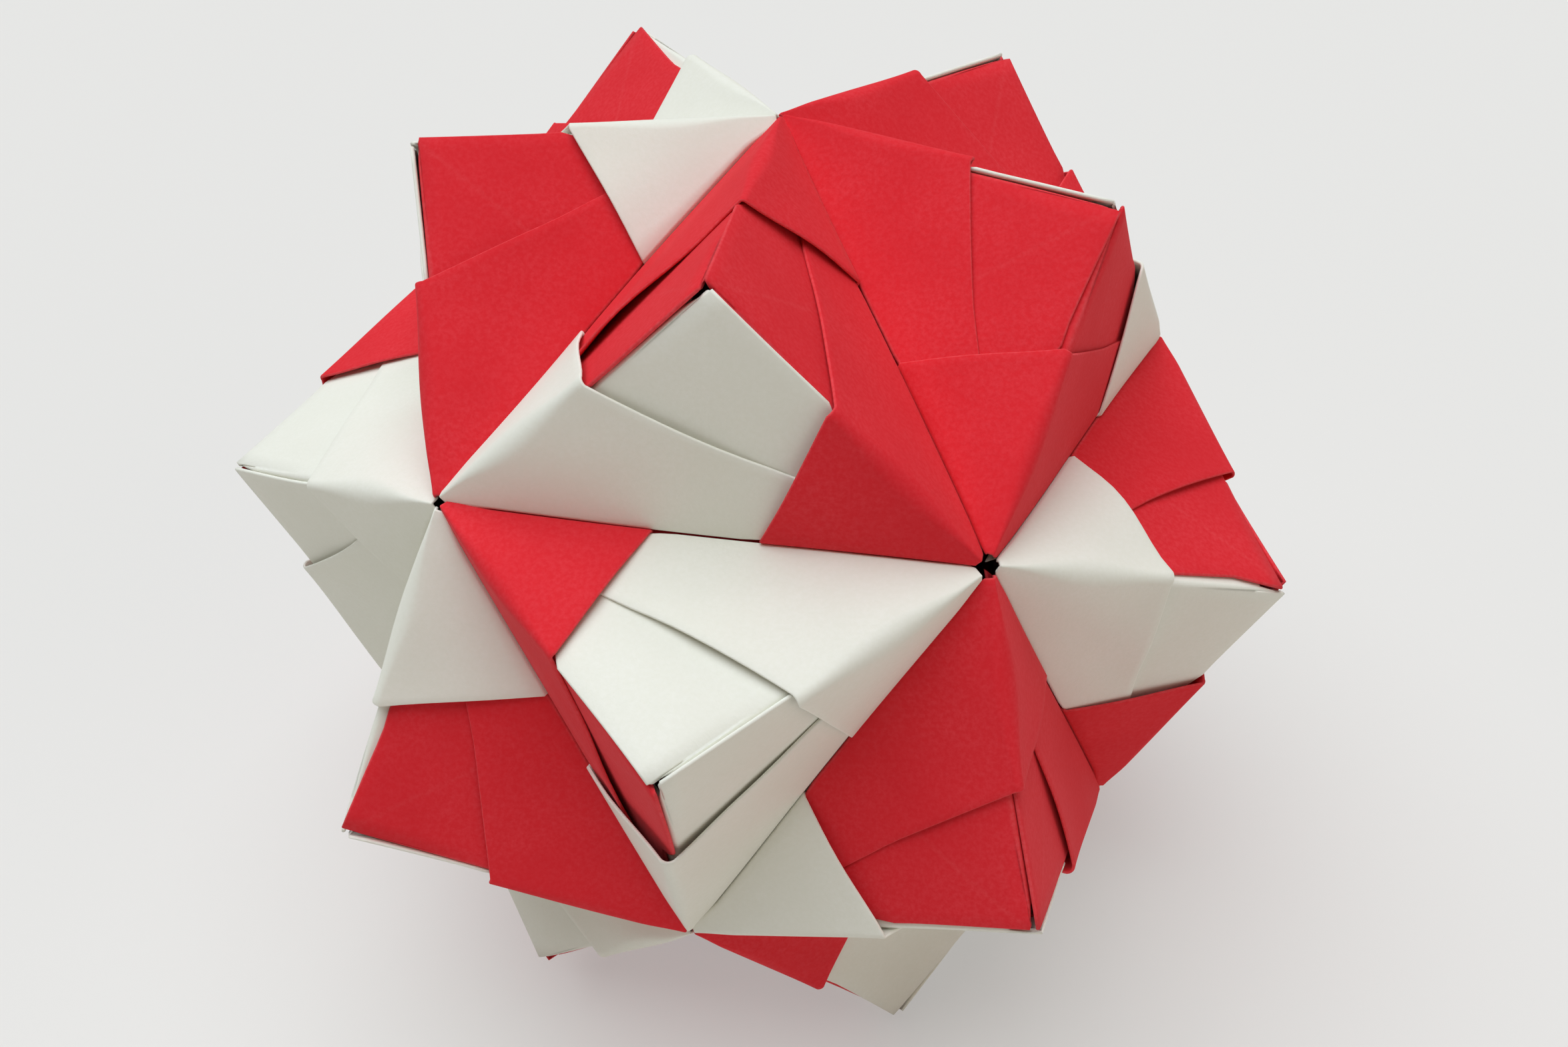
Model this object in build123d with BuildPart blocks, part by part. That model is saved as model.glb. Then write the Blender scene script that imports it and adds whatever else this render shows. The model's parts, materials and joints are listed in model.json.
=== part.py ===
from build123d import *
import os
from math import acos, atan2, cos, degrees, radians, sin, sqrt, tan

os.makedirs("parts", exist_ok=True)

# Kusudama ball of thirty paper units. Each unit is one square sheet folded flat into a
# square middle with a pointed tab at two opposite corners. Its middle lies along one edge
# of an icosahedron and bends there into a valley. Three units raise a cube corner over each
# face of the icosahedron: every tab bends over a ridge and slips into its neighbour's pocket.

# Driving dimensions in millimetres and degrees
sheet_side = 100.0       # the square that one unit is folded from
body_thickness = 0.5     # folded layers of the square middle
tab_thickness = 0.5      # folded layers of a tab
flap_thickness = 0.35    # folded layers of the flap that makes the pocket
flap_angle = 22.5        # the flap's free edge, from the long side of the tab
slip = 0.1               # room between one unit's paper and the next
vertex_gap = 0.8         # paper cut back from each five-fold point, which leaves a small hole
tab_point_width = 1.5    # blunt end of a tab's sharp point
bend_radius = 0.5        # outside of the bend where a flap rounds a ridge
first_azimuth = -135.0   # where the upper ring of points starts, about the upright axis

# The ideal ball: an icosahedron with a cube corner on each face, five round every point
ring_count = 5
ring_step = radians(360 / ring_count)
edge = sheet_side / 2
leg = edge / sqrt(2)
ball_radius = edge * sin(ring_step)
mid_radius = edge * (1 + sqrt(5)) / 4
ring_radius = 2 * ball_radius / sqrt(5)
ring_height = ball_radius / sqrt(5)
face_rise = acos(1 / sqrt(3)) - acos(sqrt(5) / 3) / 2

# Layers on every face, as heights above the face of the square middle
tab_floor = slip
tab_top = tab_floor + tab_thickness
flap_top = tab_top + flap_thickness
cover_floor = flap_top + slip
cover_top = cover_floor + flap_thickness

# One wing of the unit in the unit's own frame: X along the valley, Z out of the ball.
# The apex is the cube corner. Its three square axes are the outward normals of the three
# faces that meet there: the middle's face, the tab's face and the third face.
rise_axis = Vector(0, cos(face_rise), sin(face_rise))
middle_normal = Vector(0, -sin(face_rise), cos(face_rise))
tab_normal = (Vector(1, 0, 0) + rise_axis) * sqrt(0.5)
third_normal = (Vector(-1, 0, 0) + rise_axis) * sqrt(0.5)
apex = rise_axis * (edge / 2)
middle_face = Plane(apex, x_dir=tab_normal, z_dir=middle_normal)
tab_face = Plane(apex, x_dir=third_normal, z_dir=tab_normal)

# The hem closes the pocket along the valley, and tabs stop short of it
hem_face = slip / 2
hem_back = hem_face + flap_thickness
tab_setback = (hem_back + slip + flap_top * sin(face_rise)) / cos(face_rise)
valley_line = -leg - sqrt(2) * cover_top
tab_line = -leg + sqrt(2) * tab_setback
valley_end = edge / 2 - vertex_gap

# The flap's free edge runs straight across the ridge from the tab's point to the valley
flap_slope = tan(radians(flap_angle))
valley_reach = flap_slope * edge
ridge_reach = sqrt(2) * valley_reach / (1 + flap_slope)
cover_slope = sqrt(2) * ridge_reach / valley_reach - 1
ridge_stop = ridge_reach - leg + cover_slope * flap_top
cover_corner = (valley_line - ridge_stop + cover_slope * flap_top) / (1 + cover_slope)
hem_start = edge / 2 - valley_reach + flap_slope * cover_top
flap_run = (ridge_stop + cover_top - tab_line) / (ridge_stop + cover_top + leg)


def height_at(y, level):
    """Height above the valley of a layer on the middle's face, at a distance y from it."""
    return (level + y * sin(face_rise)) / cos(face_rise)


# Half of the square middle, mitred at the valley
with BuildPart() as half_middle:
    with BuildSketch(middle_face.offset(-body_thickness)):
        far_corner = valley_line + body_thickness + slip
        Polygon(
            (tab_top, -body_thickness - slip),
            (far_corner, -body_thickness - slip),
            (tab_top, valley_line - tab_top),
        )
    extrude(amount=body_thickness)
    split(bisect_by=Plane((0, 0, 0), z_dir=(0, 1, 0)), keep=Keep.TOP)

# The pocket's cover, with its hem down in the valley
with BuildPart() as cover:
    with BuildSketch(middle_face.offset(cover_floor)):
        Polygon(
            (flap_top, ridge_stop),
            (cover_corner, valley_line - cover_corner),
            (flap_top, valley_line - flap_top),
        )
    extrude(amount=flap_thickness)
    with BuildSketch(Plane((hem_start, 0, 0), x_dir=(0, 1, 0), z_dir=(1, 0, 0))):
        Polygon(
            (hem_face, height_at(hem_face, -body_thickness / 2)),
            (hem_back, height_at(hem_back, -body_thickness / 2)),
            (hem_back, height_at(hem_back, cover_top)),
            (hem_face, height_at(hem_face, cover_top)),
        )
    extrude(amount=edge / 2 - hem_start)
    split(bisect_by=Plane((0, hem_face, 0), z_dir=(0, 1, 0)), keep=Keep.TOP)

# One wing: half the middle, the tab over the ridge, the flap on the tab and the cover
with BuildPart() as wing:
    add(half_middle.part)
    add(cover.part)
    with BuildSketch(tab_face.offset(tab_floor)):
        Polygon(
            (tab_thickness, 0),
            (tab_thickness, tab_line - tab_thickness + tab_point_width),
            (tab_thickness - tab_point_width, tab_line - tab_thickness + tab_point_width),
            (tab_line, 0),
        )
    extrude(amount=tab_thickness)
    with BuildSketch(tab_face.offset(tab_top)):
        Polygon(
            (ridge_stop, cover_top),
            (ridge_stop * (1 - flap_run), cover_top - flap_run * (leg + cover_top)),
            (tab_line - cover_top, cover_top),
        )
    extrude(amount=flap_thickness)
    split(bisect_by=Plane((valley_end, 0, 0), z_dir=(1, 0, 0)), keep=Keep.BOTTOM)
    split(bisect_by=Plane((-valley_end, 0, 0), z_dir=(1, 0, 0)), keep=Keep.TOP)
    bend = tab_face.from_local_coords((ridge_stop - ridge_reach / 2, cover_top, flap_top))
    fillet(wing.edges().sort_by_distance(bend)[0], bend_radius)

# The folded unit: two wings that share the valley
with BuildPart() as folded_unit:
    add(wing.part)
    add(wing.part.rotate(Axis.Z, 180))

# The ball's points about its centre: one on top, two rings of five and one below
top = Vector(0, 0, ball_radius)
first_upper = Vector(ring_radius, 0, ring_height).rotate(Axis.Z, first_azimuth)
upper = [first_upper.rotate(Axis.Z, degrees(ring_step) * k) for k in range(ring_count)]
lower = [-upper[(k + 3) % ring_count] for k in range(ring_count)]
bottom = -top

# Every unit's two valley ends, ring by ring
valleys = {}
for k in range(ring_count):
    following = (k + 1) % ring_count
    valleys[f"crown_unit_{k + 1}"] = (top, upper[k])
    valleys[f"upper_ring_unit_{k + 1}"] = (upper[k], upper[following])
    valleys[f"falling_unit_{k + 1}"] = (upper[k], lower[k])
    valleys[f"rising_unit_{k + 1}"] = (lower[k], upper[following])
    valleys[f"lower_ring_unit_{k + 1}"] = (lower[k], lower[following])
    valleys[f"foot_unit_{k + 1}"] = (lower[k], bottom)

# The bottom point stands lower than the five apexes round it, so the ball leans over until
# two of them touch, here towards the lower point across from the first upper one. Both
# contacts are measured along the axis of a five-fold point.
centre = Vector(0, 0, -mid_radius)
point_axis = (Vector(edge / 2, 0, 0) - centre).normalized()
rim = tab_face.from_local_coords((flap_top - sqrt(2) * valley_end, cover_top, flap_top)) - centre
tip = tab_face.from_local_coords((tab_thickness, 0, tab_top)) - centre
rim_drop = rim.dot(point_axis)
tip_drop = tip.dot(point_axis)
rim_reach = (rim - point_axis * rim_drop).length
tip_reach = (tip - point_axis * tip_drop).length
rest_lean = degrees(atan2(rim_drop - tip_drop, (tip_reach - rim_reach) * cos(ring_step / 2)))
lean_axis = Axis((0, 0, 0), (first_upper.Y, -first_upper.X, 0))

# Thirty units round the centre, leaned over as the ball rests
placed = {}
for name, (start, end) in valleys.items():
    middle = (start + end) * 0.5
    with BuildPart(Plane(middle, x_dir=end - start, z_dir=middle)) as unit:
        add(folded_unit.part)
    placed[name] = unit.part.rotate(lean_axis, rest_lean)

# The whole ball stands on the XY plane with its box centred over the origin
box = Compound(list(placed.values())).bounding_box()
stand = Location((-box.center().X, -box.center().Y, -box.min.Z))
for name, paper in placed.items():
    with BuildPart(stand) as finished:
        add(paper)
    finished.part.label = name
    export_step(finished.part, f"parts/{name}.step")
print(f"valley {edge:.1f} mm, lean {rest_lean:.2f} degrees, box {box.size}")
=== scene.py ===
"""Looks of a kusudama ball: thirty interlocked units of folded paper, fifteen red and fifteen white."""

import json
import logging
from dataclasses import dataclass, field
from enum import Enum
from math import acos, cos, pi, radians, sin, sqrt
from typing import Any, Iterator

import bpy
import numpy as np
from mathutils import Matrix, Vector
from numpy.typing import NDArray


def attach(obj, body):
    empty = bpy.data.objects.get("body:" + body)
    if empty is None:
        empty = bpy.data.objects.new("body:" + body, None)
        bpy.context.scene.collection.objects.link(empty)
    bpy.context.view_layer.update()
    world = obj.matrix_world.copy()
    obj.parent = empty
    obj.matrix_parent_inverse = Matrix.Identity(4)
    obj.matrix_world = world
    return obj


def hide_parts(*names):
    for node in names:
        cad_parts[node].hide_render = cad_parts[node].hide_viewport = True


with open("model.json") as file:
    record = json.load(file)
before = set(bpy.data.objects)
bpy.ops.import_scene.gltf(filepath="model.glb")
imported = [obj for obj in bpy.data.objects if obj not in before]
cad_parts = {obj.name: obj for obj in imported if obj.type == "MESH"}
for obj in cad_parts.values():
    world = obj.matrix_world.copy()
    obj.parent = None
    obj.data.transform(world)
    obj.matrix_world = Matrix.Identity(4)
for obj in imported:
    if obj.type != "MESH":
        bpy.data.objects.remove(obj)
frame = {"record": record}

Points = NDArray[np.float64]
Quad = tuple[int, int, int, int]

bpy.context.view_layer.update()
BODY = "root"
MM = 0.001
SEED = 30
LOG = logging.getLogger("kusudama_ball")

# A ridge lies half way between a tab's long side and a valley, this far from each
EIGHTH_TURN = radians(45.0)

# Stations number the lines of paper across a wing, and the ridge's bend lies between two of them
LONG_SIDE, RIDGE_START, RIDGE_END, VALLEY = 0.0, 1.0, 2.0, 3.0

# Millimetres from the crease that paper without one is given
NO_CREASE = 9.0


class Ring(Enum):
    """The rings of units, from the ball's top point down to its bottom one."""

    CROWN = "crown_unit"
    UPPER = "upper_ring_unit"
    FALLING = "falling_unit"
    RISING = "rising_unit"
    LOWER = "lower_ring_unit"
    FOOT = "foot_unit"


class Half(Enum):
    """A unit's two wings: the one towards its valley's end, and the one towards its start."""

    ENDING = 0
    STARTING = 1


def linear(code: str) -> tuple[float, float, float, float]:
    """Turn an sRGB hex colour into linear light.

    Args:
        code: The colour as six hex digits after a hash sign.

    Returns:
        Red, green, blue and an alpha of one.
    """
    shares = [int(code[i : i + 2], 16) / 255 for i in (1, 3, 5)]
    light = [s / 12.92 if s <= 0.04045 else ((s + 0.055) / 1.055) ** 2.4 for s in shares]
    return (light[0], light[1], light[2], 1.0)


def eased(share: Points) -> Points:
    """Hold a share between nothing and one, with a slow start and a slow end."""
    held = np.clip(share, 0.0, 1.0)
    return held**2 * (3 - 2 * held)


def add_node(
    tree: bpy.types.NodeTree,
    kind: str,
    settings: dict[str, Any] | None = None,
    inputs: dict[str | int, Any] | None = None,
) -> bpy.types.Node:
    """Add a node to a tree, with its settings and what goes into its sockets.

    Args:
        tree: The shader or geometry tree.
        kind: The node's type name.
        settings: Values of the node's own properties.
        inputs: For each socket, a value or the output socket to link from.

    Returns:
        The new node.
    """
    node = tree.nodes.new(kind)
    for name, value in (settings or {}).items():
        setattr(node, name, value)
    for name, value in (inputs or {}).items():
        if isinstance(value, bpy.types.NodeSocket):
            tree.links.new(value, node.inputs[name])
        else:
            node.inputs[name].default_value = value
    return node


def seen_rays(tree: bpy.types.NodeTree) -> bpy.types.NodeSocket:
    """Add the nodes that tell light that reaches the camera, straight or by gloss, from other light.

    Args:
        tree: The shader tree of the table or the sky.

    Returns:
        A socket that is one for such rays.
    """
    rays = add_node(tree, "ShaderNodeLightPath").outputs
    bent = add_node(
        tree, "ShaderNodeMath", {"operation": "MAXIMUM"},
        {0: rays["Is Glossy Ray"], 1: rays["Is Transmission Ray"]},
    )
    seen = add_node(
        tree, "ShaderNodeMath", {"operation": "MAXIMUM"}, {0: rays["Is Camera Ray"], 1: bent.outputs[0]}
    )
    return seen.outputs[0]


@dataclass(frozen=True)
class BallFrame:
    """The icosahedron that the units' valleys lie along, in millimetres, as the ball rests."""

    edge: float = 50.0
    first_azimuth: float = -135.0
    ring_count: int = 5
    top_mount: str = "thread_hole"

    def radius(self) -> float:
        """Distance of a five-fold point from the ball's centre."""
        return self.edge * sin(2 * pi / self.ring_count)

    def points(self) -> dict[str, Vector]:
        """Place the five-fold points about the ball's centre.

        Returns:
            The twelve points by name. Each lower one lies right across the ball from an upper one.
        """
        count = self.ring_count
        out, up = 2 * self.radius() / sqrt(5), self.radius() / sqrt(5)
        turns = [radians(self.first_azimuth) + 2 * pi * k / count for k in range(count)]
        upper = [Vector((out * cos(t), out * sin(t), up)) for t in turns]
        named = {"top": Vector((0, 0, self.radius())), "bottom": Vector((0, 0, -self.radius()))}
        for k in range(count):
            across = (k + 3) % count
            named[f"upper_{k + 1}"] = upper[k]
            named[f"lower_{k + 1}"] = -upper[across]
        return named

    def resting(self) -> Matrix:
        """Find how the ball leans and stands, from the mount at its top point.

        Returns:
            Place of the ball's own upright frame in the row frame, in metres.
        """
        mount = next(m for m in frame["record"]["mounts"] if m["name"] == self.top_mount)
        upright = Vector(mount["axis"]).normalized()
        centre = Vector(mount["pos_m"]) - upright * self.radius() * MM
        lean = Vector((0, 0, 1)).rotation_difference(upright)
        return Matrix.Translation(centre) @ lean.to_matrix().to_4x4()

    def valleys(self) -> Iterator[tuple[str, str, str]]:
        """Go through the units, ring by ring within each fifth of the ball.

        Yields:
            A unit's name and the two five-fold points that its valley joins.
        """
        for k in range(1, self.ring_count + 1):
            following = k % self.ring_count + 1
            ends = {
                Ring.CROWN: ("top", f"upper_{k}"),
                Ring.UPPER: (f"upper_{k}", f"upper_{following}"),
                Ring.FALLING: (f"upper_{k}", f"lower_{k}"),
                Ring.RISING: (f"lower_{k}", f"upper_{following}"),
                Ring.LOWER: (f"lower_{k}", f"lower_{following}"),
                Ring.FOOT: (f"lower_{k}", "bottom"),
            }
            for ring, (start, end) in ends.items():
                yield f"{ring.value}_{k}", start, end

    def unit_place(self, start: str, end: str) -> Matrix:
        """Place of a unit's own frame in the row frame, in metres.

        Args:
            start: The five-fold point where the unit's valley starts.
            end: The point where it ends.

        Returns:
            A matrix with X along the valley and Z out of the ball.
        """
        points = self.points()
        middle = (points[start] + points[end]) / 2
        along = (points[end] - points[start]).normalized()
        outward = middle.normalized()
        turn = Matrix((along, outward.cross(along), outward)).transposed()
        return self.resting() @ Matrix.Translation(middle * MM) @ turn.to_4x4()


@dataclass
class Wing:
    """Half of a folded unit, one run of paper: hem, cover, flap, tab and half of the middle.

    The paper is worked out as the middle of its thickness, in millimetres, in the unit's own
    frame: X along the valley, Z out of the ball. It starts from the five-fold point at the
    valley's end, and flap and cover round the ridge there in one soft cone.
    """

    # Outline of the folded sheet
    edge: float = 50.0  # a valley, from point to point
    setback: float = 0.85  # the layers' sides, clear of the valleys along them
    flap_angle: float = 22.5  # the free edge of flap and cover, from the tab's long side
    edge_shift: float = 0.0  # that edge, moved outwards
    point_stop: float = 41.0  # blunt end of the tab's sharp point
    middle_margin: float = 2.6  # the middle, short of the other unit's ridge

    # The layers' tips round the hole at a five-fold point
    hole: float = 0.5  # the hole's radius
    tip: float = 0.15  # where flap and cover begin
    core_tip: float = 2.4  # where tab and middle begin, hidden below them
    tip_length: float = 4.0  # the run in which layers draw in to the hole
    tip_height: float = 0.8  # share of a layer's height that is left there

    # Heights above a face, and thicknesses
    middle_level: float = -0.2
    tab_level: float = 0.25
    flap_level: float = 0.64
    cover_level: float = 1.01
    layered_paper: float = 0.40
    flap_paper: float = 0.32

    # The hem that goes down into the valley
    hem_clearance: float = 0.15  # from the valley's own plane
    hem_levels: tuple[float, ...] = (-0.1, 0.4, 0.75, 0.93)  # its lines, as shares of the cover's height
    hem_tip: float = 0.1  # share of its depth that is left at the point

    # The tab's free edge along the next ridge, and its end in the next unit's pocket
    tab_overhang: float = 0.4  # past the ridge
    corner_overhang: float = 0.45  # the same at the apex
    corner_length: float = 12.0  # how far from the apex that is felt
    grip_from: float = 15.0  # how far from the apex the pocket starts
    grip_run: float = 5.0  # how soon the edge is then back from the ridge
    tab_pulled_back: float = 2.0  # how far back it goes
    tab_aside: float = 0.6  # the hidden end, aside from the valley and clear of a hem there
    aside_from: float = 27.0  # where it starts to stand aside
    aside_run: float = 6.0  # how soon it does so fully

    # Radius of the bend at the ridge
    crisp_bend: float = 0.45  # where the free edge crosses
    apex_bend: float = 0.12  # at the apex
    soft_bend: float = 1.2  # added half way to the free edge
    widest_bend: float = 0.5  # as a share of the distance from the point

    # Where flap and cover stand off the paper below, along the free edge from its nearest place
    flap_lift: float = 0.5
    flap_bulge_at: float = -16.0
    flap_bulge_run: float = 11.0
    ridge_lift: float = 0.35
    ridge_bulge_at: float = -7.0
    ridge_bulge_run: float = 9.0
    cover_lift: float = 0.4
    cover_bulge_at: float = 1.5
    cover_bulge_run: float = 8.0

    # The low fold that stays along the crease down the bare part of a tab
    crease_height: float = 0.2
    crease_run: float = 9.0  # how wide it is to each side
    crease_from: float = 11.0  # how far up the face it starts
    crease_rise: float = 6.0  # how soon it is at its height

    # Lines of paper in each part of the run, and steps along a line
    cover_lines: int = 10
    cone_lines: int = 11
    flap_lines: int = 17
    fold_lines: int = 8
    tab_lines: int = 15
    bend_lines: int = 9
    middle_lines: int = 6
    rows: int = 26

    columns: list[Points] = field(default_factory=list, init=False)
    halves: list[Points] = field(default_factory=list, init=False)
    creases: list[Points] = field(default_factory=list, init=False)
    wears_and_highlights: list[Points] = field(default_factory=list, init=False)

    def __post_init__(self) -> None:
        """Work out the directions and lengths that the layers share."""
        # A face's slope beside its valley: a cube corner's, less half the turn between two corners
        self.rise = acos(1 / sqrt(3)) - acos(sqrt(5) / 3) / 2
        self.leg = self.edge / sqrt(2)
        upslope = np.array([0.0, cos(self.rise), sin(self.rise)])
        along = np.array([1.0, 0.0, 0.0])
        self.middle_normal = np.array([0.0, -sin(self.rise), cos(self.rise)])
        self.tab_normal = (along + upslope) / sqrt(2)
        self.ridge = (upslope - along) / sqrt(2)
        self.upslope = upslope
        self.point = along * self.edge / 2 + self.ridge * self.setback * sqrt(2)
        self.share = np.linspace(0.0, 1.0, self.rows + 1)
        self.edge_way = radians(90 - self.flap_angle)
        from_ridge = cos(self.edge_way - EIGHTH_TURN)
        flap_line = self.edge * cos(self.edge_way) + self.edge_shift
        self.flap_line = flap_line - self.setback * sqrt(2) * from_ridge
        self.ridge_reach = self.flap_line / from_ridge

    def nominal(self, station: float) -> Points:
        """Opened-out angle from the tab's long side, were the fold at the ridge sharp."""
        flat = min(station, RIDGE_START) + max(station - RIDGE_END, 0.0)
        return np.full(self.rows + 1, EIGHTH_TURN * flat)

    def spread(self, station: float, reach: Points) -> tuple[Points, Points, Points]:
        """Directions from the five-fold point across tab, ridge and middle.

        The ridge is crisp where the flap's free edge crosses it and softer below. The tab's
        hidden end stands a little aside from the valley, clear of the next unit's hem.

        Args:
            station: The line's place, from the tab's long side to the valley.
            reach: Distances from the five-fold point, row by row.

        Returns:
            Unit directions, outward normal and opened-out angle.
        """
        places = [0.0, self.ridge_reach, self.leg]
        bends = [0.0, self.crisp_bend, self.apex_bend]
        radius = np.interp(reach, places, bends) + self.softness(reach)
        soft = np.arcsin(np.clip(radius / reach, 0.0, self.widest_bend))
        aside = self.tab_aside * eased((reach - self.aside_from) / self.aside_run)
        turned = np.arcsin(aside / np.maximum(reach, self.aside_from))
        bend = np.clip(station - RIDGE_START, 0.0, 1.0) * pi / 2
        if station < RIDGE_START:
            angle = (EIGHTH_TURN - turned) - station * (EIGHTH_TURN - turned - soft)
            down, back, opened = np.sin(angle), 0.0 * soft, EIGHTH_TURN - angle
        elif station <= RIDGE_END:
            down = np.sin(soft) * (1 - sin(bend))
            back = np.sin(soft) * (1 - cos(bend))
            opened = EIGHTH_TURN - soft + 2 * soft * (station - RIDGE_START)
        else:
            angle = soft + (station - RIDGE_END) * (EIGHTH_TURN - soft)
            down, back, opened = 0.0 * soft, np.sin(angle), EIGHTH_TURN + angle
        forth = np.sqrt(1 - down**2 - back**2)
        ways = (
            np.outer(forth, self.ridge)
            - np.outer(down, self.middle_normal)
            - np.outer(back, self.tab_normal)
        )
        normal = cos(bend) * self.tab_normal + sin(bend) * self.middle_normal
        return ways, normal, opened

    def softness(self, reach: Points) -> Points:
        """How much rounder the ridge is between the five-fold point and the flap's free edge."""
        return self.soft_bend * np.sin(pi * np.clip(reach / self.ridge_reach, 0.0, 1.0)) ** 2

    def settled(self, reach: Points) -> Points:
        """Nothing at the five-fold point, and one where the layers lie as on the rest of the face."""
        return eased(reach / self.tip_length)

    def rising(self, reach: Points) -> Points:
        """Share of a layer's height that it has at a distance from the five-fold point."""
        return self.tip_height + (1 - self.tip_height) * self.settled(reach)

    def start(self, reach: Points) -> Points:
        """Where the layers fan out from, drawn in towards the five-fold point at their tips."""
        drawn = (self.setback * sqrt(2) + self.tip - self.hole) * (1 - self.settled(reach))
        return self.point - np.outer(drawn, self.ridge)

    def stacked(self, station: float, on_tab: Points, on_middle: Points) -> Points:
        """Offset of a layer that lies at one height on the tab's face and another on the middle's.

        Args:
            station: The line's place.
            on_tab: Heights above the tab's face.
            on_middle: Heights above the middle's face.

        Returns:
            Offsets that keep the layer flat on both faces, with a corner over the ridge.
        """
        beside_tab = np.outer(on_tab * np.clip(VALLEY - station, 0.0, 1.0), self.tab_normal)
        beside_middle = np.outer(on_middle * np.clip(station, 0.0, 1.0), self.middle_normal)
        return beside_tab + beside_middle

    def lift(self, opened: Points, share: Points) -> Points:
        """How far the flap and cover stand off the paper below, most along the free edge.

        Args:
            opened: Opened-out angle from the tab's long side.
            share: Distance from the five-fold point as a share of that to the free edge.

        Returns:
            Heights in millimetres.
        """
        place = self.flap_line * np.tan(opened - self.edge_way)
        bulges = (
            (self.flap_lift, self.flap_bulge_at, self.flap_bulge_run),
            (self.ridge_lift, self.ridge_bulge_at, self.ridge_bulge_run),
            (self.cover_lift, self.cover_bulge_at, self.cover_bulge_run),
        )
        height = np.zeros_like(place)
        for most, centre, run in bulges:
            near = np.clip(np.abs(place - centre) / run, 0.0, 1.0)
            height += most * np.cos(near * pi / 2) ** 2
        return height * share**3

    def lay(self, line: Points, paper: float, crease: Points | None = None, wear_and_highlight: float = 0.0) -> None:
        """Add one line of the run of paper.

        Args:
            line: Points from the five-fold point outwards.
            paper: Thickness there.
            crease: Distance from the crease down the tab, where there is one.
            wear_and_highlight: Share of the paler paint that a fold shows, from rubbing and as painted
                highlight.
        """
        self.columns.append(line)
        self.halves.append(np.full(len(line), paper / 2))
        self.creases.append(np.full(len(line), NO_CREASE) if crease is None else crease)
        self.wears_and_highlights.append(np.full(len(line), wear_and_highlight))

    def lay_hem(self) -> None:
        """The cover's end, which goes down into the valley and narrows away at the point."""
        brim, reach = self.band_line(VALLEY)
        narrowed = self.hem_tip + (1 - self.hem_tip) * self.settled(reach)
        for level in np.array(self.hem_levels) * self.cover_level:
            height = (self.hem_clearance + level * sin(self.rise)) / cos(self.rise)
            drop = self.upslope * (height - self.setback)
            drop = drop + self.middle_normal * (level - self.cover_level)
            self.lay(brim + np.outer(narrowed, drop), self.flap_paper)

    def band_line(self, station: float) -> tuple[Points, Points]:
        """One line of the cover and the flap, from the five-fold point to the free edge.

        Args:
            station: The line's place.

        Returns:
            The line's points and their distances from the five-fold point.
        """
        opened = self.nominal(station)
        edge = self.flap_line / np.cos(opened - self.edge_way)
        edge = np.minimum(edge, self.point_stop)
        reach = self.tip + self.share * (edge - self.tip)
        ways, normal, opened = self.spread(station, reach)
        # A rounder ridge cuts its corner, so the paper beside it swells to keep the ridge's height
        beside_ridge = np.clip(min(station, VALLEY - station), 0.0, 1.0)
        swell = (1 - sqrt(0.5)) * self.softness(reach) * beside_ridge
        height = self.rising(reach)
        offset = self.stacked(station, self.flap_level * height + swell, self.cover_level * height + swell)
        offset = offset + np.outer(self.lift(opened, reach / edge), normal)
        return self.start(reach) + reach[:, None] * ways + offset, reach

    def lay_band(self) -> None:
        """The cover and the flap: one band that rounds the ridge in a soft cone."""
        over_middle = np.linspace(VALLEY, RIDGE_END, self.cover_lines)
        round_ridge = np.linspace(RIDGE_END, RIDGE_START, self.cone_lines)
        over_tab = np.linspace(RIDGE_START, LONG_SIDE, self.flap_lines)
        for station in np.concatenate([over_middle, round_ridge[1:], over_tab[1:]]):
            self.lay(self.band_line(station)[0], self.flap_paper)

    def lay_long_fold(self) -> None:
        """The tight fold along the tab's long side, from the flap back under to the tab."""
        outward = -(self.ridge + self.middle_normal) / sqrt(2)
        radius = (self.flap_level - self.tab_level) / 2
        flap_end = min(self.flap_line / cos(self.edge_way), self.point_stop)
        tab_end = self.tab_reach(np.zeros(1))[0]
        for share in np.linspace(0, 1, self.fold_lines)[1:-1]:
            end = flap_end + share * (tab_end - flap_end)
            tip = self.tip + share * (self.core_tip - self.tip)
            reach = tip + self.share * (end - tip)
            ways = self.spread(LONG_SIDE, reach)[0]
            level = (self.flap_level + self.tab_level) / 2 + radius * cos(share * pi)
            level = level * self.rising(reach)
            offset = outward * radius * sin(share * pi) + np.outer(level, self.tab_normal)
            paper = self.flap_paper + share * (self.layered_paper - self.flap_paper)
            # The long fold is painted fully paler: rubbing, and painted highlight on its rounded edge
            self.lay(self.start(reach) + reach[:, None] * ways + offset, paper, wear_and_highlight=1.0)

    def tab_reach(self, opened: Points) -> Points:
        """Distance from the five-fold point to the tab's free edge.

        Args:
            opened: Angle from the tab's long side.

        Returns:
            Distances, shorter where the next unit's cover hides and grips the tab.
        """
        from_apex = np.tan(EIGHTH_TURN - opened) * self.leg
        gripped = eased((from_apex - self.grip_from) / self.grip_run)
        corner = np.clip(1.0 - from_apex / self.corner_length, 0.0, 1.0)
        overhang = self.tab_overhang + (self.corner_overhang - self.tab_overhang) * corner
        edge = overhang - gripped * (overhang + self.tab_pulled_back)
        edge = self.leg - self.setback * sqrt(2) + edge
        return np.minimum(edge / np.cos(EIGHTH_TURN - opened), self.point_stop)

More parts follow.
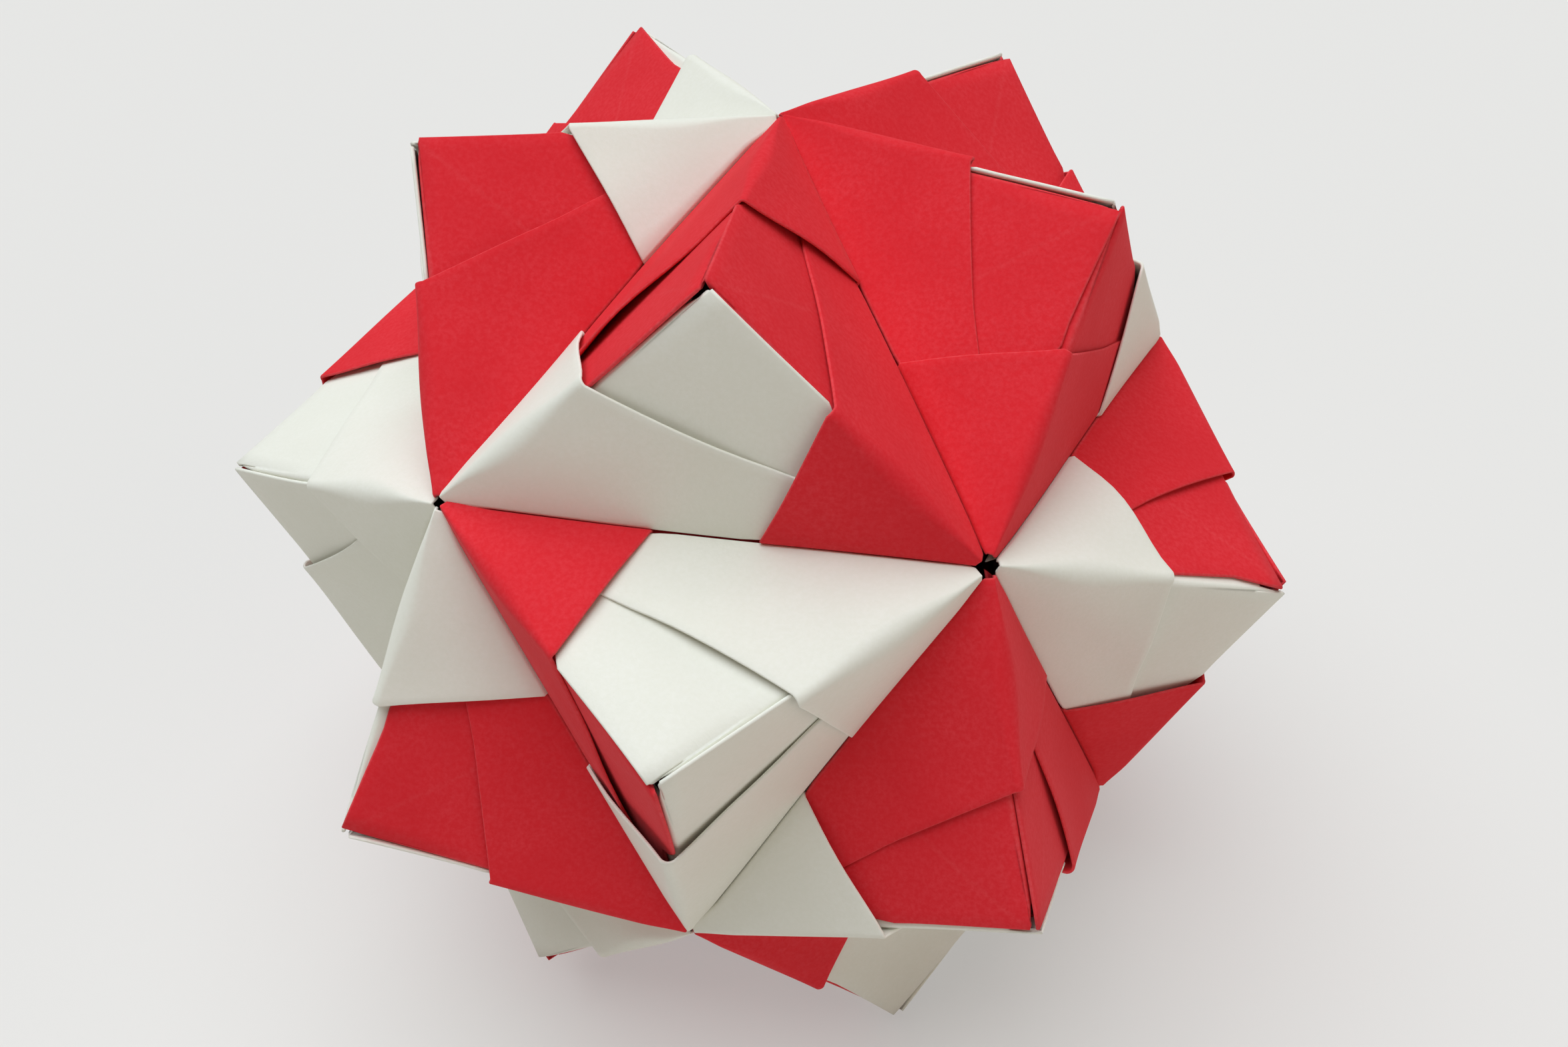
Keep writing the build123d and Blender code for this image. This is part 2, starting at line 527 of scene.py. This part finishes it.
    def lay_core(self) -> None:
        """The tab, its crisp bend at the ridge and half of the middle, down to the valley."""
        over_tab = np.linspace(LONG_SIDE, RIDGE_START, self.tab_lines)
        round_ridge = np.linspace(RIDGE_START, RIDGE_END, self.bend_lines)
        over_middle = np.linspace(RIDGE_END, VALLEY, self.middle_lines)
        middle_end = self.leg - self.setback * sqrt(2) - self.middle_margin
        for station in np.concatenate([over_tab, round_ridge[1:], over_middle[1:]]):
            opened, turned = self.nominal(station), float(np.clip(station - RIDGE_START, 0.0, 1.0))
            from_tab = self.tab_reach(np.minimum(opened, EIGHTH_TURN))
            from_middle = middle_end / np.cos(np.maximum(opened - EIGHTH_TURN, 0.0))
            edge = from_tab + (from_middle - from_tab) * turned
            reach = self.core_tip + self.share * (edge - self.core_tip)
            ways, normal, opened = self.spread(station, reach)
            height = self.rising(reach)
            offset = self.stacked(station, self.tab_level * height, self.middle_level * height)
            crease = None
            if station <= RIDGE_START:
                crease = self.setback + reach * np.cos(opened) - self.edge / 2
                offset = offset + np.outer(self.creased(crease, reach * np.sin(opened)), normal)
            line = self.start(reach) + reach[:, None] * ways + offset
            # The ridge's bend is painted paler towards its middle: rubbing, and painted highlight on the
            # rounded fold
            bent = 1.0 - abs(2 * turned - 1)
            self.lay(line, self.layered_paper, crease, wear_and_highlight=bent)

    def creased(self, off_crease: Points, up_face: Points) -> Points:
        """Height of the low fold that stays along the crease down the bare part of the tab.

        Args:
            off_crease: Distance from the crease.
            up_face: Distance up the face from the tab's long side.

        Returns:
            Heights, none where the flap lies.
        """
        bare = np.clip((up_face - self.crease_from) / self.crease_rise, 0.0, 1.0)
        near = np.clip(1 - np.abs(off_crease) / self.crease_run, 0.0, 1.0)
        return self.crease_height * bare * near

    def run(self) -> "Wing":
        """Lay every line of paper, from the hem to the valley.

        Returns:
            This wing, with its lines laid.
        """
        self.lay_hem()
        self.lay_band()
        self.lay_long_fold()
        self.lay_core()
        first = self.setback + self.tip
        valley = np.zeros((self.rows + 1, 3))
        valley[:, 0] = self.edge / 2 - first - self.share * (self.edge - 2 * first)
        valley[:, 2] = self.middle_level / cos(self.rise)
        self.lay(valley, self.layered_paper)
        return self


@dataclass
class PaperShell:
    """A grid of points with a thickness, closed into a shell with rounded rims."""

    points: Points
    halves: Points
    rim_steps: int = 3

    def close(self) -> tuple[Points, list[Quad], list[int]]:
        """Make both faces and the rim.

        Returns:
            The shell's points, its quads, and for each point the grid point that it came from.
        """
        across, down = self.points.shape[:2]
        by_column = np.gradient(self.points, axis=0)
        by_row = np.gradient(self.points, axis=1)
        normal = np.cross(by_column, by_row)
        normal /= np.linalg.norm(normal, axis=2, keepdims=True)
        half = self.halves[:, :, None]
        upper = (self.points + normal * half).reshape(-1, 3)
        under = (self.points - normal * half).reshape(-1, 3)
        count = across * down
        loop = self.rim_loop(across, down)
        rim = [c * down + r for c, r in loop]
        verts = [upper, under]
        source = list(range(count)) * 2
        rings = [rim]
        for step in range(1, self.rim_steps + 1):
            angle = pi / 2 - pi * step / (self.rim_steps + 1)
            ring = []
            for c, r in loop:
                out = self.outward(by_column, by_row, normal, c, r)
                ring.append(self.points[c, r] + half[c, r] * (cos(angle) * out + sin(angle) * normal[c, r]))
            first = count * 2 + len(loop) * (step - 1)
            rings.append(list(range(first, first + len(loop))))
            verts.append(np.array(ring))
            source += rim
        rings.append([count + i for i in rim])
        return np.concatenate(verts), self.quads(across, down, rings), source

    @staticmethod
    def rim_loop(across: int, down: int) -> list[tuple[int, int]]:
        """Go once round the grid.

        Args:
            across: How many lines the grid has.
            down: How many points a line has.

        Returns:
            Line and row of every point on the rim, in order.
        """
        loop = [(c, 0) for c in range(across)]
        loop += [(across - 1, r) for r in range(1, down)]
        loop += [(c, down - 1) for c in range(across - 2, -1, -1)]
        loop += [(0, r) for r in range(down - 2, 0, -1)]
        return loop

    @staticmethod
    def outward(by_column: Points, by_row: Points, normal: Points, c: int, r: int) -> Points:
        """Direction out of the paper's edge at a place on the rim.

        Args:
            by_column: Steps from line to line, over the grid.
            by_row: Steps along the lines.
            normal: Normals of the paper.
            c: The place's line.
            r: Its row.

        Returns:
            A unit vector in the plane of the paper.
        """
        across, down = normal.shape[:2]
        out = np.zeros(3)
        if r in (0, down - 1):
            way = by_row[c, r] / np.linalg.norm(by_row[c, r])
            out += way if r else -way
        if c in (0, across - 1):
            way = by_column[c, r] / np.linalg.norm(by_column[c, r])
            out += way if c else -way
        out -= normal[c, r] * (out @ normal[c, r])
        return out / np.linalg.norm(out)

    @staticmethod
    def quads(across: int, down: int, rings: list[list[int]]) -> list[Quad]:
        """Join the points of both faces and of the rim.

        Args:
            across: How many lines the grid has.
            down: How many points a line has.
            rings: Points of the rim, ring by ring from the upper face to the under one.

        Returns:
            The quads, which face outwards.
        """
        count = across * down
        quads = []
        for c in range(across - 1):
            for r in range(down - 1):
                i = c * down + r
                quads.append((i, i + down, i + down + 1, i + 1))
                quads.append((count + i, count + i + 1, count + i + down + 1, count + i + down))
        for near, far in zip(rings, rings[1:]):
            for i in range(len(near)):
                j = (i + 1) % len(near)
                quads.append((near[i], far[i], far[j], near[j]))
        return quads


@dataclass(frozen=True)
class PaperFinish:
    """Coloured card paper, uncoated and dyed through, which is matte with a fine fibre speckle.

    Folds, rims and the crease are painted paler, partly from rubbing and partly as painted highlight where
    they catch the light; the pressed surface mottles a little, and grazing light shows the fibres.
    """

    slot: str
    colour: str
    fibre_colour: str
    mottle_colour: str
    # Paler colour and its strength on folds, rims and the crease: partly rubbing, partly painted highlight
    worn_and_highlight_colour: str
    worn_and_highlight_share: float
    fibre_mm: float = 0.45
    fibre_detail: float = 3.0
    fibre_roughness: float = 0.6
    fibre_range: tuple[float, float] = (0.38, 0.72)
    fibre_share: float = 0.5
    mottle_mm: float = 9.0
    mottle_detail: float = 2.0
    mottle_range: tuple[float, float] = (0.35, 0.7)
    mottle_share: float = 0.45
    crease_mm: float = 0.4
    crease_share: float = 0.25
    roughness: float = 0.88
    specular: float = 0.15
    sheen: float = 0.04
    bump_mm: float = 0.02

    def build(self) -> bpy.types.Material:
        """Make the material.

        Returns:
            A material that reads Object coordinates and the paper's own attributes.
        """
        material = bpy.data.materials.new(self.slot)
        material.use_nodes = True
        tree = material.node_tree
        tree.nodes.clear()
        place = add_node(tree, "ShaderNodeTexCoord").outputs["Object"]
        # Real fibres are under 0.1 mm: they are drawn coarse enough to show
        noise = add_node(
            tree, "ShaderNodeTexNoise", None,
            {
                "Vector": place,
                "Scale": 1 / (self.fibre_mm * MM),
                "Detail": self.fibre_detail,
                "Roughness": self.fibre_roughness,
            },
        )
        fibre = noise.outputs["Fac"]
        crease = self.add_crease(tree)
        dyed = self.add_dye(tree, place, fibre)
        colour = self.add_wear_and_highlight(tree, dyed, fibre, crease)
        relief = add_node(tree, "ShaderNodeMath", {"operation": "SUBTRACT"}, {0: fibre, 1: crease})
        bump = add_node(
            tree, "ShaderNodeBump", None,
            {"Height": relief.outputs[0], "Distance": self.bump_mm * MM, "Strength": 1.0},
        )
        paper = add_node(
            tree, "ShaderNodeBsdfPrincipled", None,
            {
                "Base Color": colour,
                "Roughness": self.roughness,
                "Specular IOR Level": self.specular,
                "Sheen Weight": self.sheen,
                "Normal": bump.outputs["Normal"],
            },
        )
        add_node(tree, "ShaderNodeOutputMaterial", None, {"Surface": paper.outputs["BSDF"]})
        return material

    def add_crease(self, tree: bpy.types.NodeTree) -> bpy.types.NodeSocket:
        """Add the nodes for the thin crease down a tab, which is painted paler, from rubbing and as painted
        highlight, and pressed in by the bump.

        Args:
            tree: The material's tree.

        Returns:
            A socket that is above nothing only on the crease.
        """
        crease = add_node(tree, "ShaderNodeAttribute", {"attribute_name": "crease"}).outputs["Fac"]
        off_crease = add_node(tree, "ShaderNodeMath", {"operation": "ABSOLUTE"}, {0: crease})
        on_crease = add_node(
            tree, "ShaderNodeMapRange", None,
            {
                "Value": off_crease.outputs[0],
                "From Max": self.crease_mm,
                "To Min": self.crease_share,
                "To Max": 0.0,
            },
        )
        return on_crease.outputs["Result"]

    def add_dye(
        self, tree: bpy.types.NodeTree, place: bpy.types.NodeSocket, fibre: bpy.types.NodeSocket
    ) -> bpy.types.NodeSocket:
        """Add the nodes for the dyed paper, with its speckle and slow mottle.

        Args:
            tree: The material's tree.
            place: Object coordinates.
            fibre: The fibre's noise.

        Returns:
            A socket with the colour.
        """
        mottle = add_node(
            tree, "ShaderNodeTexNoise", None,
            {"Vector": place, "Scale": 1 / (self.mottle_mm * MM), "Detail": self.mottle_detail},
        )
        colour: Any = linear(self.colour)
        for noise, (low, high), share, other in (
            (fibre, self.fibre_range, self.fibre_share, self.fibre_colour),
            (mottle.outputs["Fac"], self.mottle_range, self.mottle_share, self.mottle_colour),
        ):
            amount = add_node(
                tree, "ShaderNodeMapRange", None,
                {"Value": noise, "From Min": low, "From Max": high, "To Max": share},
            )
            mixed = add_node(
                tree, "ShaderNodeMix", {"data_type": "RGBA"},
                {0: amount.outputs["Result"], 6: colour, 7: linear(other)},
            )
            colour = mixed.outputs[2]
        return colour

    def add_wear_and_highlight(
        self,
        tree: bpy.types.NodeTree,
        dyed: bpy.types.NodeSocket,
        fibre: bpy.types.NodeSocket,
        crease: bpy.types.NodeSocket,
    ) -> bpy.types.NodeSocket:
        """Add the nodes that paint folds, rims and the crease paler, broken up by the fibres: partly
        rubbing, partly painted highlight where the rounded paper catches the light.

        Args:
            tree: The material's tree.
            dyed: The paper's colour.
            fibre: The fibre's noise.
            crease: Where the crease is.

        Returns:
            A socket with the colour.
        """
        # Folds, rims and the crease painted paler: partly rubbing, partly painted highlight on the rounded
        # paper
        wear_and_highlight = add_node(tree, "ShaderNodeAttribute", {"attribute_name": "wear_and_highlight"}).outputs["Fac"]
        rubbed_and_highlit = add_node(tree, "ShaderNodeMath", {"operation": "MAXIMUM"}, {0: wear_and_highlight, 1: crease})
        broken = add_node(
            tree, "ShaderNodeMath", {"operation": "MULTIPLY"}, {0: rubbed_and_highlit.outputs[0], 1: fibre}
        )
        worn_and_highlit = add_node(
            tree, "ShaderNodeMath", {"operation": "MULTIPLY"},
            {0: broken.outputs[0], 1: self.worn_and_highlight_share},
        )
        colour = add_node(
            tree, "ShaderNodeMix", {"data_type": "RGBA"},
            {0: worn_and_highlit.outputs[0], 6: dyed, 7: linear(self.worn_and_highlight_colour)},
        )
        return colour.outputs[2]


# The pale colours paint folds, rims and the crease: partly rubbing, partly painted highlight
RED_PAPER = PaperFinish(
    slot="red_paper", colour="#E02932", fibre_colour="#E8444D", mottle_colour="#D9232D",
    worn_and_highlight_colour="#EE8C8E", worn_and_highlight_share=0.25,
)
WHITE_PAPER = PaperFinish(
    slot="white_paper", colour="#EEEDE1", fibre_colour="#F4F3EA", mottle_colour="#EAE9DC",
    worn_and_highlight_colour="#F7F6EE", worn_and_highlight_share=0.4,
)


@dataclass
class FoldedUnit:
    """One unit of the ball: a sheet folded into two wings that share a valley."""

    node: str
    wings: dict[Half, Wing]

    def mesh(self) -> bpy.types.Mesh:
        """Make the folded sheet's mesh in the unit's own frame.

        Returns:
            A closed mesh, with the crease and wear of the paper as attributes.
        """
        ending = self.wings[Half.ENDING].run()
        starting = self.wings[Half.STARTING].run()
        half_turn = np.array([-1.0, -1.0, 1.0])
        other = np.array(starting.columns)[::-1, ::-1] * half_turn
        points = np.concatenate([np.array(ending.columns), other[1:]])
        layers = {}
        for name in ("halves", "creases", "wears_and_highlights"):
            back = np.array(getattr(starting, name))[::-1, ::-1]
            layers[name] = np.concatenate([np.array(getattr(ending, name)), back[1:]])
        verts, quads, source = PaperShell(points, layers["halves"]).close()
        made = bpy.data.meshes.new(self.node)
        made.from_pydata((verts * MM).tolist(), [], quads)
        wear_and_highlight = layers["wears_and_highlights"].reshape(-1)[source]
        # The rims are painted fully paler: rubbing, and painted highlight where the paper's edge catches
        # the light
        wear_and_highlight[2 * layers["wears_and_highlights"].size :] = 1.0
        for name, values in (("crease", layers["creases"].reshape(-1)[source]), ("wear_and_highlight", wear_and_highlight)):
            made.attributes.new(name, "FLOAT", "POINT").data.foreach_set("value", values)
        made.shade_smooth()
        return made


# How far hand folding strays, as the least and most of a wing's sizes in millimetres
SLACK: dict[str, tuple[float, float]] = {
    "soft_bend": (0.9, 1.5),
    "flap_lift": (0.25, 0.85),
    "ridge_lift": (0.1, 0.35),
    "cover_lift": (0.2, 0.8),
    "edge_shift": (-0.4, 0.4),
    "tab_overhang": (-0.3, 0.3),
}

# Wings that the photograph shows looser or tighter than the rest, in millimetres and one angle.
# A tab that stops short of its ridge lets the bend of the unit below it show as a line of colour.
LOOSE_WINGS: dict[tuple[str, Half], dict[str, float]] = {
    ("crown_unit_1", Half.ENDING): {"tab_overhang": 0.45},
    ("crown_unit_2", Half.STARTING): {
        "flap_lift": 0.9, "flap_bulge_at": -23.0, "ridge_lift": 0.0, "tab_overhang": 0.45,
    },
    ("crown_unit_2", Half.ENDING): {"flap_lift": 0.15},
    ("crown_unit_3", Half.STARTING): {"tab_overhang": -0.6},
    ("upper_ring_unit_1", Half.STARTING): {
        "flap_lift": 0.5, "flap_bulge_at": -25.0, "ridge_lift": 0.0, "edge_shift": -0.7,
        "tab_overhang": 0.45,
    },
    ("upper_ring_unit_1", Half.ENDING): {"tab_overhang": 0.45},
    ("upper_ring_unit_2", Half.STARTING): {"cover_lift": 1.4},
    ("upper_ring_unit_2", Half.ENDING): {"cover_lift": 0.1, "ridge_lift": 0.05, "tab_overhang": 0.3},
    ("upper_ring_unit_4", Half.ENDING): {"tab_overhang": -1.1},
    ("upper_ring_unit_5", Half.STARTING): {
        "cover_lift": 0.3, "ridge_lift": 0.1, "tab_overhang": -1.0, "corner_overhang": 0.0,
    },
    ("falling_unit_1", Half.ENDING): {
        "cover_lift": 0.5, "ridge_lift": 0.55, "tab_overhang": 0.5, "corner_overhang": 0.95,
    },
    ("falling_unit_2", Half.STARTING): {"tab_overhang": -0.7, "corner_overhang": -0.4},
    ("falling_unit_2", Half.ENDING): {"ridge_lift": 0.05, "tab_overhang": -0.3},
    ("falling_unit_5", Half.ENDING): {"tab_overhang": -0.2},
    ("rising_unit_1", Half.ENDING): {"flap_angle": 23.5, "tab_overhang": 0.45},
    ("rising_unit_2", Half.ENDING): {
        "tab_overhang": -0.75, "corner_overhang": 0.4, "corner_length": 6.0,
    },
    ("rising_unit_5", Half.STARTING): {"tab_overhang": -0.1},
    ("lower_ring_unit_1", Half.ENDING): {"flap_lift": 0.6, "tab_overhang": -0.2},
    ("lower_ring_unit_5", Half.ENDING): {"tab_overhang": -0.9},
    ("foot_unit_1", Half.STARTING): {"tab_overhang": -0.3},
    ("foot_unit_1", Half.ENDING): {"tab_overhang": -0.4},
    ("foot_unit_2", Half.STARTING): {"tab_overhang": -0.4},
    ("foot_unit_5", Half.ENDING): {"tab_overhang": -2.0, "corner_overhang": -1.5},
}

# Holes at five-fold points that the photograph shows wider than the rest, in millimetres across
WIDE_HOLES: dict[str, float] = {"upper_1": 1.5, "upper_2": 2.3}


@dataclass
class PaperBall:
    """The thirty units, each placed, set slightly out of true and dressed in its paper."""

    ball: BallFrame = field(default_factory=BallFrame)
    wander_mm: float = 1.0
    wander_length_mm: float = 30.0
    hole_mm: tuple[float, float] = (0.8, 1.2)
    seed: int = SEED

    def tree(self) -> bpy.types.NodeTree:
        """Make the node tree that sets a unit in its place in the ball.

        Hand-folded units are never quite true, so one slow wander moves neighbours together.

        Returns:
            A geometry tree with named inputs, used by every unit.
        """
        tree = bpy.data.node_groups.new("unit_in_place", "GeometryNodeTree")
        sockets = {
            "Unit": "NodeSocketGeometry",
            "Place": "NodeSocketVector",
            "Turn": "NodeSocketRotation",
            "Wander": "NodeSocketFloat",
            "Wander Length": "NodeSocketFloat",
            "Seed": "NodeSocketFloat",
            "Paper": "NodeSocketMaterial",
        }
        for name, kind in sockets.items():
            tree.interface.new_socket(name, in_out="INPUT", socket_type=kind)
        tree.interface.new_socket("Unit", in_out="OUTPUT", socket_type="NodeSocketGeometry")
        given = add_node(tree, "NodeGroupInput").outputs
        placed = add_node(
            tree, "GeometryNodeTransform", None,
            {"Geometry": given["Unit"], "Translation": given["Place"], "Rotation": given["Turn"]},
        )
        where = add_node(tree, "GeometryNodeInputPosition")
        scale = add_node(
            tree, "ShaderNodeMath", {"operation": "DIVIDE"}, {0: 1.0, 1: given["Wander Length"]}
        )
        noise = add_node(
            tree, "ShaderNodeTexNoise", {"noise_dimensions": "4D"},
            {"Vector": where.outputs[0], "W": given["Seed"], "Scale": scale.outputs[0], "Detail": 0.0},
        )
        centred = add_node(
            tree, "ShaderNodeVectorMath", {"operation": "SUBTRACT"},
            {0: noise.outputs["Color"], 1: (0.5, 0.5, 0.5)},
        )
        offset = add_node(
            tree, "ShaderNodeVectorMath", {"operation": "SCALE"},
            {0: centred.outputs[0], "Scale": given["Wander"]},
        )
        moved = add_node(
            tree, "GeometryNodeSetPosition", None,
            {"Geometry": placed.outputs[0], "Offset": offset.outputs[0]},
        )
        real = add_node(tree, "GeometryNodeRealizeInstances", None, {"Geometry": moved.outputs[0]})
        dressed = add_node(
            tree, "GeometryNodeSetMaterial", None,
            {"Geometry": real.outputs[0], "Material": given["Paper"]},
        )
        add_node(tree, "NodeGroupOutput", None, {"Unit": dressed.outputs[0]})
        return tree

    def wing(self, node: str, half: Half, hole: float, draw: np.random.Generator) -> Wing:
        """Fold one wing with its own small inaccuracies.

        Args:
            node: The unit's name.
            half: Which of its wings.
            hole: Radius of the hole at the wing's five-fold point.
            draw: The ball's source of random numbers.

        Returns:
            A wing that isn't laid yet.
        """
        sizes = {name: draw.uniform(*limits) for name, limits in SLACK.items()}
        sizes.update(LOOSE_WINGS.get((node, half), {}))
        return Wing(edge=self.ball.edge, hole=hole, **sizes)

    def build(self) -> list[bpy.types.Object]:
        """Build every unit in its place.

        Returns:
            The finished pieces.
        """
        tree = self.tree()
        ids = {s.name: s.identifier for s in tree.interface.items_tree if s.in_out == "INPUT"}
        papers = {finish.slot: finish.build() for finish in (RED_PAPER, WHITE_PAPER)}
        slots = {part["node"]: part["material_slot"] for part in frame["record"]["subparts"]}
        draw = np.random.default_rng(self.seed)
        holes = {point: draw.uniform(*self.hole_mm) / 2 for point in self.ball.points()}
        holes.update({point: width / 2 for point, width in WIDE_HOLES.items()})
        pieces = []
        for node, start, end in self.ball.valleys():
            ends = {Half.ENDING: end, Half.STARTING: start}
            wings = {half: self.wing(node, half, holes[ends[half]], draw) for half in Half}
            unit = bpy.data.objects.new(f"{node}_folded", FoldedUnit(node, wings).mesh())
            bpy.context.scene.collection.objects.link(unit)
            place = self.ball.unit_place(start, end)
            modifier = unit.modifiers.new("unit_in_place", "NODES")
            modifier.node_group = tree
            modifier[ids["Place"]] = place.translation
            modifier[ids["Turn"]] = place.to_euler()
            modifier[ids["Wander"]] = self.wander_mm * MM
            modifier[ids["Wander Length"]] = self.wander_length_mm * MM
            modifier[ids["Seed"]] = float(self.seed)
            modifier[ids["Paper"]] = papers[slots[node]]
            pieces.append(self.finish(unit, node, slots[node]))
        return pieces

    @staticmethod
    def finish(unit: bpy.types.Object, node: str, slot: str) -> bpy.types.Object:
        """Turn a unit into a plain mesh that stands for its node.

        Args:
            unit: The unit with its node tree.
            node: The CAD node's name.
            slot: The record's material slot.

        Returns:
            The finished piece.
        """
        graph = bpy.context.evaluated_depsgraph_get()
        made = bpy.data.meshes.new_from_object(unit.evaluated_get(graph))
        unit.modifiers.clear()
        unit.data = made
        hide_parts(node)
        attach(unit, BODY)
        LOG.info("%s: %d faces of %s", unit.name, len(made.polygons), slot)
        return unit


@dataclass(frozen=True)
class SoftSun:
    """A far and very wide light, like a bright ceiling of cloud."""

    name: str
    source: tuple[float, float, float]
    spread_degrees: float
    strength: float
    colour: str

    def build(self) -> bpy.types.Object:
        """Make the light, which shines from its source towards the ball.

        Returns:
            The light's object.
        """
        light = bpy.data.lights.new(self.name, "SUN")
        light.angle = radians(self.spread_degrees)
        light.energy = self.strength
        light.color = linear(self.colour)[:3]
        sun = bpy.data.objects.new(self.name, light)
        sun.rotation_euler = (-Vector(self.source)).to_track_quat("-Z", "Y").to_euler()
        bpy.context.scene.collection.objects.link(sun)
        return sun


@dataclass
class Studio:
    """A white table, soft daylight from above, a weak light from the right, and the photo's camera."""

    ball: BallFrame = field(default_factory=BallFrame)

    # The table, in metres. Part of it glows for the camera alone, and past it lies a pale backdrop
    table_size: float = 6.0
    table_colour: str = "#E0DDD8"
    table_roughness: float = 0.9
    table_specular: float = 0.1
    glow_colour: str = "#EFEFEE"
    glow_share: float = 0.42
    backdrop_colour: str = "#E8E8E5"

    # The light
    sky_colour: str = "#FFE3BE"
    sky_strength: float = 0.10
    sun: SoftSun = SoftSun("skylight", (-0.14, 0.04, 1.0), 65.0, 3.1, "#F0F8FF")
    fill: SoftSun = SoftSun("right_wall", (0.8, -0.5, 0.25), 60.0, 0.45, "#FFEDE2")

    # The camera's place and aim about the ball's centre, its roll in degrees and its lens
    stand: tuple[float, float, float] = (0.0, -157.7, 106.3)
    aim: tuple[float, float, float] = (1.91, -0.21, -0.28)
    roll: float = 1.87
    lens: float = 37.8

    def build(self) -> None:
        """Set the table, light it and place the camera."""
        scene = bpy.context.scene
        scene.view_settings.view_transform = "Standard"
        self.build_table()
        self.build_sky(scene)
        self.sun.build()
        self.fill.build()
        scene.camera = self.build_camera(self.ball.resting())

    def build_table(self) -> None:
        """A large sheet of white card under the ball."""
        half = self.table_size / 2
        corners = [(-half, -half, 0), (half, -half, 0), (half, half, 0), (-half, half, 0)]
        mesh = bpy.data.meshes.new("table")
        mesh.from_pydata(corners, [], [(0, 1, 2, 3)])
        mesh.materials.append(self.card())
        table = bpy.data.objects.new("table", mesh)
        bpy.context.scene.collection.objects.link(table)

    def card(self) -> bpy.types.Material:
        """Make the table's white card, which is matte and smooth and takes the ball's shadow.

        Returns:
            The material.
        """
        material = bpy.data.materials.new("white_card")
        material.use_nodes = True
        tree = material.node_tree
        tree.nodes.clear()
        card = add_node(
            tree, "ShaderNodeBsdfPrincipled", None,
            {
                "Base Color": linear(self.table_colour),
                "Roughness": self.table_roughness,
                "Specular IOR Level": self.table_specular,
            },
        )
        glow = add_node(tree, "ShaderNodeEmission", None, {"Color": linear(self.glow_colour)})
        share = add_node(
            tree, "ShaderNodeMath", {"operation": "MULTIPLY"}, {0: seen_rays(tree), 1: self.glow_share}
        )
        shown = add_node(
            tree, "ShaderNodeMixShader", None,
            {0: share.outputs[0], 1: card.outputs[0], 2: glow.outputs[0]},
        )
        add_node(tree, "ShaderNodeOutputMaterial", None, {"Surface": shown.outputs[0]})
        return material

    def build_sky(self, scene: bpy.types.Scene) -> None:
        """Even pale light from all round, with a pale backdrop where the camera looks past the table.

        Args:
            scene: The scene that gets this world.
        """
        world = bpy.data.worlds.new("pale_room")
        world.use_nodes = True
        tree = world.node_tree
        tree.nodes.clear()
        sky = add_node(
            tree, "ShaderNodeBackground", None,
            {"Color": linear(self.sky_colour), "Strength": self.sky_strength},
        )
        backdrop = add_node(tree, "ShaderNodeBackground", None, {"Color": linear(self.backdrop_colour)})
        shown = add_node(
            tree, "ShaderNodeMixShader", None,
            {0: seen_rays(tree), 1: sky.outputs[0], 2: backdrop.outputs[0]},
        )
        add_node(tree, "ShaderNodeOutputWorld", None, {"Surface": shown.outputs[0]})
        scene.world = world

    def build_camera(self, resting: Matrix) -> bpy.types.Object:
        """Place the camera about the ball, which leans with it.

        Args:
            resting: Place of the ball's own frame in the row frame.

        Returns:
            The camera.
        """
        forward = (Vector(self.aim) - Vector(self.stand)).normalized()
        level = forward.cross(Vector((0, 0, 1))).normalized()
        over = level.cross(forward)
        roll = radians(self.roll)
        right = level * cos(roll) + over * sin(roll)
        up = over * cos(roll) - level * sin(roll)
        turn = Matrix((right, up, -forward)).transposed().to_4x4()
        data = bpy.data.cameras.new("photo_view")
        data.sensor_fit = "HORIZONTAL"
        data.lens = self.lens
        camera = bpy.data.objects.new("photo_view", data)
        camera.matrix_world = resting @ Matrix.Translation(Vector(self.stand) * MM) @ turn
        bpy.context.scene.collection.objects.link(camera)
        return camera


def main() -> None:
    """Build the ball, then the studio round it."""
    logging.basicConfig(level=logging.INFO, format="%(name)s: %(message)s")
    pieces = PaperBall().build()
    LOG.info("%d units of paper", len(pieces))
    Studio().build()


if __name__ == "__main__":
    main()
